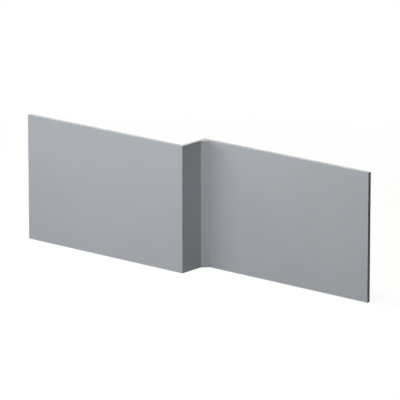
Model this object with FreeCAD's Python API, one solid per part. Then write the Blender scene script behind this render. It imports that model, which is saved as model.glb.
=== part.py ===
import FreeCAD, Part
import os

# Front panel for an L-shaped shower bath, in fibreboard.
# A wide end and a narrow end stand in two parallel planes. A short return board closes the step
# between them: it is mitred to the wide board at the outside corner, and at the inside corner it
# and the narrow board both butt against a square post whose front corner is cut to a 45 degree facet.
# Frame: +X runs along the bath to the narrow end, -Y faces the room, +Z is up, and the origin lies on
# the floor in the middle of the panel's length and depth. Lengths are in millimetres.

# Driving dimensions
overall_length = 1700.0
panel_height = 540.0
board_thickness = 16.0
wide_length = 850.0  # from the wide end to the outside corner
step_depth = 146.0  # from the wide board's front face to the narrow board's front face
facet_leg = 27.0  # what the facet takes off the post's front corner, along each board
arris_radius = 1.0  # rounding of every exposed edge

# Places of the faces along X
wide_end_x = -overall_length / 2
narrow_end_x = overall_length / 2
return_face_x = wide_end_x + wide_length
return_back_x = return_face_x - board_thickness
narrow_seat_x = return_face_x + facet_leg  # the narrow board butts against the post here

# Places of the faces along Y
overall_depth = step_depth + board_thickness
wide_face_y = -overall_depth / 2
wide_back_y = wide_face_y + board_thickness
narrow_face_y = wide_face_y + step_depth
narrow_back_y = narrow_face_y + board_thickness
return_seat_y = narrow_face_y - facet_leg  # the return board butts against the post here

# Corners of the plan, named for what meets there
wide_end_front = (wide_end_x, wide_face_y)
wide_end_back = (wide_end_x, wide_back_y)
outside_corner = (return_face_x, wide_face_y)
mitre_heel = (return_back_x, wide_back_y)
facet_start = (return_face_x, return_seat_y)
return_seat_back = (return_back_x, return_seat_y)
facet_end = (narrow_seat_x, narrow_face_y)
narrow_seat_back = (narrow_seat_x, narrow_back_y)
post_heel = (return_back_x, narrow_back_y)
narrow_end_front = (narrow_end_x, narrow_face_y)
narrow_end_back = (narrow_end_x, narrow_back_y)

# The whole panel's outline in plan, and the corners of it that stand out and so have an arris
panel_outline = [wide_end_front, outside_corner, facet_start, facet_end, narrow_end_front,
                 narrow_end_back, post_heel, mitre_heel, wide_end_back]
arris_corners = [wide_end_front, outside_corner, narrow_end_front,
                 narrow_end_back, post_heel, wide_end_back]

# Each piece's outline in plan, as it is sawn
piece_outlines = {
    "wide_panel": [wide_end_front, outside_corner, mitre_heel, wide_end_back],
    "return_panel": [outside_corner, facet_start, return_seat_back, mitre_heel],
    "corner_post": [facet_start, facet_end, narrow_seat_back, post_heel, return_seat_back],
    "narrow_panel": [facet_end, narrow_end_front, narrow_end_back, narrow_seat_back],
}


def upright(outline):
    """A plan outline raised to the panel's height."""
    points = [FreeCAD.Vector(x, y, 0) for x, y in outline]
    face = Part.Face(Part.makePolygon(points + points[:1]))
    return face.extrude(FreeCAD.Vector(0, 0, panel_height))


def exposed_edges(solid):
    """The top and bottom edges all round, and the upright edges at the corners that stand out."""
    arrises = [Part.Vertex(x, y, panel_height / 2) for x, y in arris_corners]
    found = []
    for edge in solid.Edges:
        level = edge.BoundBox.ZLength < edge.Length / 2
        if level or any(edge.distToShape(point)[0] < Part.Precision.confusion() for point in arrises):
            found.append(edge)
    return found


def eased_panel():
    """The whole panel with its exposed edges rounded, so that each arris runs on across the joints."""
    blank = upright(panel_outline)
    return blank.makeFillet(arris_radius, exposed_edges(blank))


def main():
    os.makedirs("parts", exist_ok=True)
    eased = eased_panel()
    for name, outline in piece_outlines.items():
        piece = upright(outline).common(eased).removeSplitter().Solids[0]
        piece.exportStep(os.path.join("parts", name + ".step"))
        print(name, "valid" if piece.isValid() else "INVALID", round(piece.Volume / 1000, 3), "cm3")


main()
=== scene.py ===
import math

import bmesh
import bpy
import numpy as np
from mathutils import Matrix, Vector


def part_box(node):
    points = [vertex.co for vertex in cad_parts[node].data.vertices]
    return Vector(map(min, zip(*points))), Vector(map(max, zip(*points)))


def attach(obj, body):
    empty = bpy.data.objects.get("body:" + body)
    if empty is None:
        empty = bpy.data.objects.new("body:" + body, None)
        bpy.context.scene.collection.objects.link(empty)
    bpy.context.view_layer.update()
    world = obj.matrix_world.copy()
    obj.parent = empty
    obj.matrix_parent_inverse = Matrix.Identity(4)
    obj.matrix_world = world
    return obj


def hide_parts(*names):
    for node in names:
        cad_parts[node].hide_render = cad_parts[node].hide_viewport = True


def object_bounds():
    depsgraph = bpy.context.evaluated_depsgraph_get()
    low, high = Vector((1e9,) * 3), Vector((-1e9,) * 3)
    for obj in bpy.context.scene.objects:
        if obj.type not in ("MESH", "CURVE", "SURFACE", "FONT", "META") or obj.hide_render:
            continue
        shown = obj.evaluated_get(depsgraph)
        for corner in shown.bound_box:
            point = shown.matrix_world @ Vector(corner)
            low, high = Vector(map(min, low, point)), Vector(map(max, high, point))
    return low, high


# The front panel of an L-shaped shower bath, stood on the floor as it leaves the workshop.
# Lengths are in metres, +X runs along the bath to the narrow end, -Y faces the room and +Z is up.
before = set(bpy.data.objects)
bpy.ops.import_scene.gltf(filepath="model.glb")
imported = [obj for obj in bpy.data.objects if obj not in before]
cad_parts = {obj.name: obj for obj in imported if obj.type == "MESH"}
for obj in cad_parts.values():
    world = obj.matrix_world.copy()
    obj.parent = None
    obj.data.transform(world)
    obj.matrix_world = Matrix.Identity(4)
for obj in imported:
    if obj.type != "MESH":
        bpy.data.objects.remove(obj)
cad_low, cad_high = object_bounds()
scene = bpy.context.scene

# Wide front board
# A flat board of fibreboard that closes the wide, shower end of the bath, sprayed satin grey all over.
# Its sawn edges are eased with a small round cutter, and its right end is mitred to meet the return board.
arris = 0.001  # radius of every exposed edge
arris_steps = 7  # points along each rounding
joint_ease = 0.0002  # radius of a glued edge, which leaves a hairline along the joint
exposed = 1.0  # how far a level arris draws in an exposed face, for each unit of its inset
glued = 0.2  # how far it draws in a glued face
weld_reach = 1e-6
crease_angle = math.radians(35)
flat_weight = 100  # at which the large flat faces alone steer the shading
panel_height = cad_high.z

# Which way a face looks in plan, in degrees from +X towards +Y
right = 0
back = 90
left = 180
front = 270
full_turn = 360

return_low, return_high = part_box("return_panel")
board_thickness = return_high.x - return_low.x
wide_end_front = (cad_low.x, cad_low.y)
wide_end_back = (cad_low.x, cad_low.y + board_thickness)
outside_corner = (return_high.x, cad_low.y)
mitre_heel = (return_low.x, cad_low.y + board_thickness)


def outward(degrees):
    """Unit vectors in plan that look along the given angles."""
    angles = np.radians(degrees)
    return np.stack([np.cos(angles), np.sin(angles)], axis=-1)


def turning(before, after, shares):
    """The angles that lie at those shares of the left-hand turn from before to after."""
    return before + (after - before) % full_turn * shares


def arc_centre(corner, faces, radius):
    """The centre of a rounding: the corner moved in along the faces' bisector until both are touched."""
    return corner - radius * faces.sum(0) / (1 + faces[0] @ faces[1])


def arris_corner(corner, before, after, start=0.0, stop=1.0):
    """Rounds an exposed corner between faces that look along the angles before and after.

    A point of the arc is the arc's centre plus the radius times its own outward direction. As the level
    arris draws the faces in, the point moves straight in, against that direction. A mitre keeps only the
    stretch of the arc from the share start to the share stop. The last values say how far round the arris
    each point lies: the sine of half a turn over the whole arc.
    """
    shares = np.linspace(start, stop, arris_steps)
    directions = outward(turning(before, after, shares))
    points = arc_centre(corner, outward([before, after]), arris) + arris * directions
    return points, directions, -directions, np.sin(np.pi * shares)


def joint_corner(corner, before, after, draw_before, draw_after):
    """Eases a glued edge between faces that look along the angles before and after by a hair's breadth.

    A point is the small arc's centre plus its radius times the outward direction. As the level arris
    draws the faces in, the whole arc moves to where the drawn-in faces cross: draw_before and draw_after
    say how far each face comes in for each unit of inset.
    """
    faces = outward([before, after])
    directions = outward(turning(before, after, np.linspace(0, 1, arris_steps)))
    points = arc_centre(corner, faces, joint_ease) + joint_ease * directions
    draw = np.linalg.solve(faces, [-draw_before, -draw_after])
    return points, directions, np.broadcast_to(draw, points.shape), np.zeros(arris_steps)


def board(name, corners, material, sawn_end=None):
    """A board whose plan outline is carried up its height, drawn in along quarter circles at both ends.

    Point (level, place) is the outline's point at that place plus the level's inset times that place's
    draw. Near the floor and near the rim the inset is the arris less its sine, and the height there is the
    arris less its cosine, over a quarter turn. The last rings are closed by flat faces. Two values stay on
    each point: how far round an arris it lies, and how squarely it is part of a sawn edge, which the level
    faces are and so is the end that looks along the angle sawn_end.
    """
    outline, directions, draw, rounded = (np.concatenate(part) for part in zip(*corners))
    turn = np.linspace(0, np.pi / 2, arris_steps)
    inset = arris * (1 - np.sin(turn))
    rise = arris * (1 - np.cos(turn))
    insets = np.concatenate([inset, inset[::-1]])[:, None]
    levels = np.concatenate([rise, panel_height - rise[::-1]])[:, None]
    rolled = np.concatenate([np.sin(2 * turn), np.sin(2 * turn[::-1])])[:, None]
    plan = outline + insets[:, :, None] * draw
    rows, columns = plan.shape[:2]
    points = np.dstack([plan, np.broadcast_to(levels, (rows, columns))]).reshape(-1, 3)
    ring = np.arange(columns)
    after = np.roll(ring, -1)
    start = columns * np.arange(rows - 1)[:, None]
    above = start + columns
    sides = np.stack([start + ring, start + after, above + after, above + ring], axis=-1).reshape(-1, 4)
    faces = sides.tolist() + [ring[::-1].tolist(), (ring + columns * (rows - 1)).tolist()]
    mesh = bpy.data.meshes.new(name)
    mesh.from_pydata(points.tolist(), [], faces)
    end = np.zeros(columns) if sawn_end is None else np.maximum(directions @ outward(sawn_end), 0)
    layers = {"arris": np.maximum(rolled, rounded), "sawn": np.maximum(insets / arris, end)}
    for label, values in layers.items():
        layer = mesh.attributes.new(label, "FLOAT", "POINT")
        layer.data.foreach_set("value", values.astype(np.float32).ravel())
    welded = bmesh.new()
    welded.from_mesh(mesh)
    bmesh.ops.remove_doubles(welded, verts=welded.verts, dist=weld_reach)
    welded.to_mesh(mesh)
    welded.free()
    mesh.polygons.foreach_set("use_smooth", np.ones(len(mesh.polygons), bool))
    mesh.set_sharp_from_angle(angle=crease_angle)
    mesh.materials.append(material)
    piece = bpy.data.objects.new(name, mesh)
    scene.collection.objects.link(piece)
    flats = piece.modifiers.new("flat faces", "WEIGHTED_NORMAL")
    flats.keep_sharp = True
    flats.weight = flat_weight
    return piece


class Socket:
    """An output in a node tree. An expression on it adds the Math nodes that work it out."""

    def __init__(self, tree, output):
        self.tree = tree
        self.output = output

    @staticmethod
    def fill(tree, node, inputs):
        """Gives a node's sockets their values or links."""
        for name, value in inputs.items():
            if isinstance(value, Socket):
                tree.links.new(value.output, node.inputs[name])
            else:
                node.inputs[name].default_value = value

    @classmethod
    def node(cls, tree, kind, settings, inputs, output=0):
        """Adds a node, makes its settings, then fills its sockets."""
        made = tree.nodes.new(kind)
        for name, value in settings.items():
            setattr(made, name, value)
        cls.fill(tree, made, inputs)
        return cls(tree, made.outputs[output])

    def math(self, operation, first, second):
        """Adds a Math node for two sockets or numbers."""
        return self.node(self.tree, "ShaderNodeMath", {"operation": operation}, {0: first, 1: second})

    def maximum(self, other):
        return self.math("MAXIMUM", self, other)

    def __add__(self, other):
        return self.math("ADD", self, other)

    def __sub__(self, other):
        return self.math("SUBTRACT", self, other)

    def __mul__(self, other):
        return self.math("MULTIPLY", self, other)

    __radd__ = __add__
    __rmul__ = __mul__


lacquer_deep = (0.372, 0.401, 0.432, 1)
lacquer_pale = (0.405, 0.435, 0.468, 1)
lacquer_roughness = 0.42
lacquer_gloss = 0.3
noise_mean = 0.5
relief_depth = 0.00003
relief_strength = 0.5

# How far each layer takes the shade from deep to pale
middle_shade = 0.5
cloud_shade = 0.9
pigment_shade = 0.5
thin_shade = 0.25
fibre_shade = 1.2

# How far each layer makes the lacquer duller or smoother
sanding_dulls = 0.08
cloud_dulls = 0.06
sawn_dulls = 0.07
thin_smooths = 0.06

# How deep two of the layers lie in the relief, for each unit of the orange peel
sanding_relief = 3.0
fibre_relief = 0.8


def satin_lacquer():
    """Sprayed satin grey lacquer on fibreboard.

    Its shade has a faint cloud and a fine pigment, and its skin a slight orange peel over the sander's long
    waves. Round an arris it is thin, so a little paler and smoother. On a sawn edge the fibres that it
    raised show through it, and it is duller.
    """
    material = bpy.data.materials.new("satin_grey")
    material.use_nodes = True
    tree = material.node_tree
    place = Socket.node(tree, "ShaderNodeTexCoord", {}, {}, "Object")

    def noise(per_metre, octaves):
        """Noise about zero with that many cells to the metre."""
        inputs = {"Vector": place, "Scale": per_metre, "Detail": octaves}
        return Socket.node(tree, "ShaderNodeTexNoise", {}, inputs) - noise_mean

    def layer(label):
        """A value that the board's own points hold."""
        return Socket.node(tree, "ShaderNodeAttribute", {"attribute_name": label}, {}, "Fac")

    cloud = noise(per_metre=5.0, octaves=2.0)
    sanding = noise(per_metre=22.0, octaves=2.0)
    peel = noise(per_metre=380.0, octaves=1.0)
    pigment = noise(per_metre=1400.0, octaves=1.0)
    thin = layer("arris")
    sawn = layer("sawn")
    fibres = noise(per_metre=1800.0, octaves=3.0) * sawn
    shade = (middle_shade + cloud_shade * cloud + pigment_shade * pigment
             + thin_shade * thin + fibre_shade * fibres)
    # A Mix node's sockets share their names, and those for colours are 6 and 7 and give output 2.
    colour = Socket.node(tree, "ShaderNodeMix", {"data_type": "RGBA"},
                         {0: shade, 6: lacquer_deep, 7: lacquer_pale}, 2)
    roughness = (lacquer_roughness + sanding_dulls * sanding + cloud_dulls * cloud
                 - thin_smooths * thin + sawn_dulls * sawn)
    relief = peel + sanding_relief * sanding + fibre_relief * fibres
    bump = Socket.node(tree, "ShaderNodeBump", {},
                       {"Strength": relief_strength, "Distance": relief_depth, "Height": relief})
    Socket.fill(tree, tree.nodes["Principled BSDF"], {
        "Base Color": colour,
        "Roughness": roughness,
        "Specular IOR Level": lacquer_gloss,
        "Normal": bump,
    })
    return material


satin_grey = satin_lacquer()
halfway = 0.5  # a mitre halves the corner that it closes
wide_mitre = turning(right, back, halfway)
wide_board = board("wide_board", [
    arris_corner(wide_end_front, left, front),
    arris_corner(outside_corner, front, right, stop=halfway),
    joint_corner(mitre_heel, wide_mitre, back, glued, exposed),
    arris_corner(wide_end_back, back, left),
], satin_grey, sawn_end=left)
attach(wide_board, "root")
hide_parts("wide_panel")

# Return board
# A short board of the same stock that runs back from the wide board to the inside corner.
# Its front edge is mitred and glued to the wide board, and its back edge is glued to the corner post.
facet_start = (return_high.x, return_high.y)
return_seat_back = (return_low.x, return_high.y)
return_mitre = turning(left, front, halfway)
return_board = board("return_board", [
    arris_corner(outside_corner, front, right, start=halfway),
    joint_corner(facet_start, right, back, exposed, glued),
    joint_corner(return_seat_back, back, left, glued, exposed),
    joint_corner(mitre_heel, left, return_mitre, exposed, glued),
], satin_grey)
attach(return_board, "root")
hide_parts("return_panel")

# Corner post
# A square upright in the inside corner, with its front corner sawn off to a 45 degree facet.
# The return board and the narrow board are glued to its two sides.
narrow_low, narrow_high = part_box("narrow_panel")
facet_end = (narrow_low.x, narrow_low.y)
narrow_seat_back = (narrow_low.x, narrow_high.y)
post_heel = (return_low.x, narrow_high.y)
facet = turning(front, right, halfway)
corner_upright = board("corner_upright", [
    joint_corner(facet_start, front, facet, glued, exposed),
    joint_corner(facet_end, facet, right, exposed, glued),
    joint_corner(narrow_seat_back, right, back, glued, exposed),
    arris_corner(post_heel, back, left),
    joint_corner(return_seat_back, left, front, exposed, glued),
], satin_grey)
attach(corner_upright, "root")
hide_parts("corner_post")

# Narrow front board
# A flat board of the same stock that closes the narrow end of the bath, set back from the wide board.
# Its left edge is glued to the corner post, and its right end is square.
narrow_end_front = (narrow_high.x, narrow_low.y)
narrow_end_back = (narrow_high.x, narrow_high.y)
narrow_board = board("narrow_board", [
    joint_corner(facet_end, left, front, glued, exposed),
    arris_corner(narrow_end_front, front, right),
    arris_corner(narrow_end_back, right, back),
    joint_corner(narrow_seat_back, back, left, exposed, glued),
], satin_grey, sawn_end=right)
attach(narrow_board, "root")
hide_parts("narrow_panel")

# Studio floor and surroundings
# A plain white floor that runs out of sight, under a plain dim sky.
# Both show as white to the camera and in reflections, and the floor keeps a light shadow of the panel.
floor_reach = 60.0
floor_drop = 0.0002
floor_bounce = (0.03, 0.03, 0.03, 1)
floor_white = (0.9, 0.9, 0.9, 1)
pure_white = (1, 1, 1, 1)
white_strength = 1.0
shadow_share = 0.12
shadow_reach = 1.5  # from the middle of the panel, with the whole share inside it
shadow_end = 3.0  # where the share has faded to nothing
sky_strength = 0.02

floor_mesh = bpy.data.meshes.new("floor")
floor_corners = floor_reach * np.array([[-1, -1], [1, -1], [1, 1], [-1, 1]])
floor_points = np.column_stack([floor_corners, np.full(len(floor_corners), -floor_drop)])
floor_mesh.from_pydata(floor_points.tolist(), [], [range(len(floor_corners))])
floor = bpy.data.objects.new("floor", floor_mesh)
scene.collection.objects.link(floor)


def seen_directly(tree):
    """1 for rays from the camera and those that gloss or glass sends on, and 0 for soft bounced light."""
    view, gloss, glass = (Socket.node(tree, "ShaderNodeLightPath", {}, {}, "Is %s Ray" % kind)
                          for kind in ("Camera", "Glossy", "Transmission"))
    return view.maximum(gloss).maximum(glass)


def white_floor():
    """White where it is seen directly, near the panel with a share that the lamps light, and else dull."""
    material = bpy.data.materials.new("white_floor")
    material.use_nodes = True
    tree = material.node_tree
    spot = Socket.node(tree, "ShaderNodeTexCoord", {}, {}, "Object")
    away = Socket.node(tree, "ShaderNodeVectorMath", {"operation": "LENGTH"}, {0: spot}, "Value")
    share = Socket.node(tree, "ShaderNodeMapRange", {"interpolation_type": "SMOOTHSTEP"}, {
        "Value": away,
        "From Min": shadow_reach,
        "From Max": shadow_end,
        "To Min": shadow_share,
        "To Max": 0.0,
    })
    glow = Socket.node(tree, "ShaderNodeEmission", {}, {"Color": pure_white, "Strength": white_strength})
    lit = Socket.node(tree, "ShaderNodeBsdfDiffuse", {}, {"Color": floor_white})
    white = Socket.node(tree, "ShaderNodeMixShader", {}, {0: share, 1: glow, 2: lit})
    dull = Socket.node(tree, "ShaderNodeBsdfDiffuse", {}, {"Color": floor_bounce})
    surface = Socket.node(tree, "ShaderNodeMixShader", {}, {0: seen_directly(tree), 1: dull, 2: white})
    Socket.fill(tree, tree.nodes["Material Output"], {"Surface": surface})
    return material


floor_mesh.materials.append(white_floor())

sky = bpy.data.worlds.new("sky")
sky.use_nodes = True
scene.world = sky
Socket.fill(sky.node_tree, sky.node_tree.nodes["Background"], {
    "Color": pure_white,
    "Strength": sky_strength + seen_directly(sky.node_tree) * (white_strength - sky_strength),
})

# Studio lamps
# Two warm lamps, one over the panel and one far out on the left, light its top edges and graze its front.
# A low strip on the left and a tall softbox on the right light the front squarely. Another strip, behind
# the panel and no higher than it, lights only its back.
panel_middle = (cad_low + cad_high) / 2
plain_light = (1.0, 1.0, 1.0)
warm_light = (1.0, 0.93, 0.84)


def softbox(name, place, width, height, power, colour=plain_light, sheen=True):
    """An oblong lamp that stands at place, faces the middle of the panel and, with sheen, gleams on it."""
    lamp = bpy.data.lights.new(name, "AREA")
    lamp.color = colour
    lamp.shape = "RECTANGLE"
    lamp.size = width
    lamp.size_y = height
    lamp.energy = power
    stand = bpy.data.objects.new(name, lamp)
    stand.location = place
    stand.rotation_euler = (panel_middle - Vector(place)).to_track_quat("-Z", "Y").to_euler()
    stand.visible_camera = False
    stand.visible_glossy = sheen
    scene.collection.objects.link(stand)


softbox("overhead_lamp", place=(0.31, -0.5, 4.7), width=1.5, height=1.5, power=182.0, colour=warm_light)
softbox("side_lamp", place=(-4.0, -0.5, 3.2), width=1.6, height=1.6, power=118.0, colour=warm_light,
        sheen=False)
softbox("left_strip", place=(-0.76, -2.16, 0.86), width=2.76, height=0.41, power=32.6)
softbox("right_softbox", place=(1.3, -3.0, 1.37), width=1.43, height=2.44, power=38.6)
softbox("back_strip", place=(-1.2, 5.0, 0.27), width=2.0, height=0.5, power=210.0)

# Camera
# It stands well back, so that the lines of the panel run nearly parallel, and looks slightly down.
azimuth = math.radians(40.08)
elevation = math.radians(14.76)
lens_length = 403.65
sensor_width = 36.0
distance = 18.545
sight_reach = 200.0
aim = Vector((-0.0613, 0.1045, 0.2645))
towards_camera = Vector((
    math.sin(azimuth) * math.cos(elevation),
    -math.cos(azimuth) * math.cos(elevation),
    math.sin(elevation),
))
camera_data = bpy.data.cameras.new("camera")
camera_data.lens = lens_length
camera_data.sensor_width = sensor_width
camera_data.clip_end = sight_reach
camera = bpy.data.objects.new("camera", camera_data)
camera.location = aim + distance * towards_camera
camera.rotation_euler = (-towards_camera).to_track_quat("-Z", "Y").to_euler()
scene.collection.objects.link(camera)
scene.camera = camera
scene.view_settings.view_transform = "Standard"
